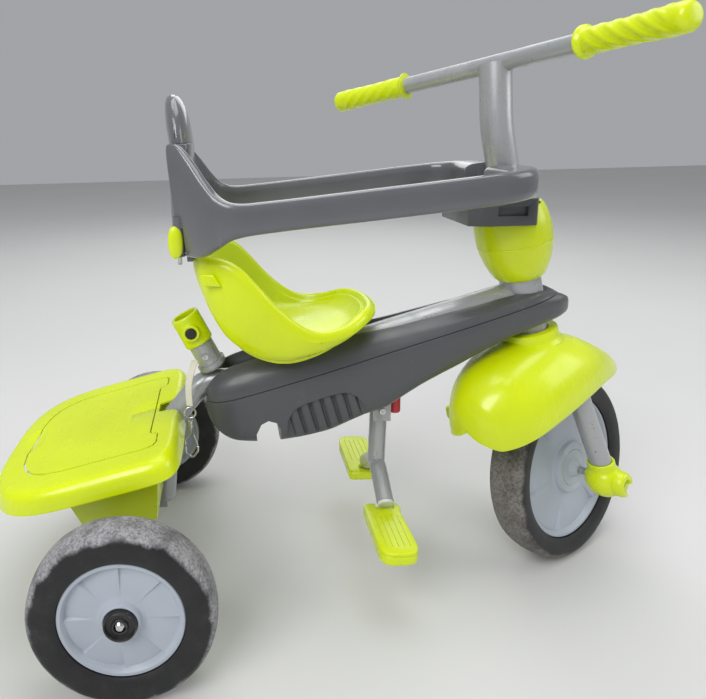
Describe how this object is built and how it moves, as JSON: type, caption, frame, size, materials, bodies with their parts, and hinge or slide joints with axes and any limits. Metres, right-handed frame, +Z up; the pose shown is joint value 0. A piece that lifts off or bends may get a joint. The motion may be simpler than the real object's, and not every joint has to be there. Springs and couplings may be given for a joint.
{
  "type": "children's tricycle",
  "caption": "Children's tricycle with a bucket seat, a two-part safety bar that swings open, a folding footrest, a steered pedal wheel and a rear bucket with a lid.",
  "frame": {"origin": "on the ground, under the middle of the tricycle's length and width", "axes": "+X forwards, +Y to the rider's left, +Z up"},
  "size_m": [0.8661, 0.4444, 0.6902],
  "materials": {
    "lime_plastic": "lime moulded plastic, lightly scuffed",
    "grey_gloss_plastic": "mid grey moulded plastic, glossy",
    "cover_plastic": "dark grey moulded plastic, satin",
    "silver_paint": "light silver-grey paint",
    "rim_plastic": "light blue-grey moulded plastic",
    "tyre_foam": "black tyre, dusty tread",
    "bright_steel": "zinc-plated steel",
    "black_plastic": "black moulded plastic",
    "white_plastic": "off-white nylon",
    "red_plastic": "red moulded plastic",
    "webbing": "cream woven webbing"
  },
  "bodies": {
    "frame": {"rear_axle": "bright_steel", "axle_tube": "silver_paint", "axle_bushes": "white_plastic", "axle_screws": "bright_steel", "main_tube": "silver_paint", "rear_tube": "silver_paint", "head_tube": "silver_paint", "steering_bushes": "white_plastic", "handle_socket": "silver_paint", "handle_collar": "lime_plastic", "socket_rivet": "bright_steel", "cover_lower": "cover_plastic", "cover_upper": "cover_plastic", "footrest_bracket": "silver_paint", "footrest_pin": "bright_steel", "head_cover": "lime_plastic", "seat_shell": "lime_plastic", "seat_clamp": "silver_paint", "backrest_band": "grey_gloss_plastic", "backrest_top": "grey_gloss_plastic", "hinge_pins": "bright_steel", "hinge_caps": "lime_plastic", "bar_clasp": "cover_plastic", "bucket": "lime_plastic", "bucket_lid": "lime_plastic", "hatch_pin": "bright_steel", "strap": "webbing", "strap_ring": "bright_steel", "hook_swivel": "bright_steel", "snap_hook": "bright_steel"},
    "steering": {"fork": "silver_paint", "fork_ends": "lime_plastic", "fender": "lime_plastic", "stem": "silver_paint", "handlebar": "silver_paint", "grip_left": "lime_plastic", "grip_right": "lime_plastic"},
    "front_wheel": {"front_tyre": "tyre_foam", "front_rim": "rim_plastic", "hub_discs": "rim_plastic", "front_axle": "bright_steel", "pedal_crank_left": "silver_paint"},
    "pedal": {"pedal_left": "lime_plastic"},
    "rear_wheel_right": {"rear_tyre_right": "tyre_foam", "rear_rim_right": "rim_plastic", "hub_cap_right": "black_plastic"},
    "rear_wheel_left": {"rear_tyre_left": "tyre_foam", "rear_rim_left": "rim_plastic", "hub_cap_left": "black_plastic"},
    "safety_arm_right": {"safety_arm_right": "grey_gloss_plastic"},
    "safety_arm_left": {"safety_arm_left": "grey_gloss_plastic"},
    "footrest": {"footrest_tube": "silver_paint", "footrest_caps": "white_plastic", "foot_plate_right": "lime_plastic", "foot_plate_left": "lime_plastic"},
    "latch_button": {"latch_button": "red_plastic"},
    "collar_button": {"collar_button": "black_plastic"},
    "lid_hatch": {"lid_hatch": "lime_plastic"},
    "hook_gate": {"hook_gate": "bright_steel"}
  },
  "joints": [
    {"name": "steering", "type": "hinge", "parent": "frame", "child": "steering", "pos_m": [0.3278, 0, 0], "axis": [-0.2096, 0, 0.9778], "range_deg": [-76.2, 13.8]},
    {"name": "front_wheel_spin", "type": "hinge", "parent": "steering", "child": "front_wheel", "pos_m": [0.32014, 0.01134, 0.12511], "axis": [-0.5065, 0.8554, -0.1086], "continuous": true},
    {"name": "pedal_spin", "type": "hinge", "parent": "front_wheel", "child": "pedal", "pos_m": [0.23816, 0.1184, 0.15356], "axis": [-0.5065, 0.8554, -0.1086], "continuous": true},
    {"name": "rear_wheel_right_spin", "type": "hinge", "parent": "frame", "child": "rear_wheel_right", "pos_m": [-0.253, -0.196, 0.1], "axis": [0, 1, 0], "continuous": true},
    {"name": "rear_wheel_left_spin", "type": "hinge", "parent": "frame", "child": "rear_wheel_left", "pos_m": [-0.253, 0.196, 0.1], "axis": [0, 1, 0], "continuous": true},
    {"name": "safety_arm_right_open", "type": "hinge", "parent": "frame", "child": "safety_arm_right", "pos_m": [-0.187, -0.066, 0.467], "axis": [0, 0, -1], "range_deg": [0, 70]},
    {"name": "safety_arm_left_open", "type": "hinge", "parent": "frame", "child": "safety_arm_left", "pos_m": [-0.187, 0.066, 0.467], "axis": [0, 0, 1], "range_deg": [0, 70]},
    {"name": "footrest_fold", "type": "hinge", "parent": "frame", "child": "footrest", "pos_m": [0.064, 0, 0.226], "axis": [0, 1, 0], "range_deg": [0, 60]},
    {"name": "latch_press", "type": "slide", "parent": "frame", "child": "latch_button", "axis": [0, 0, 1], "range_m": [0, 0.004], "stiffness_N_per_m": 300},
    {"name": "collar_button_press", "type": "slide", "parent": "frame", "child": "collar_button", "axis": [0, 1, 0], "range_m": [0, 0.0015], "stiffness_N_per_m": 400},
    {"name": "hatch_open", "type": "hinge", "parent": "frame", "child": "lid_hatch", "pos_m": [-0.23394, 0, 0.22836], "axis": [0, 1, 0], "range_deg": [0, 95]},
    {"name": "hook_gate_open", "type": "hinge", "parent": "frame", "child": "hook_gate", "pos_m": [-0.1824, -0.041, 0.2155], "axis": [0, 1, 0], "range_deg": [0, 20], "stiffness_Nm_per_rad": 0.002}
  ]
}
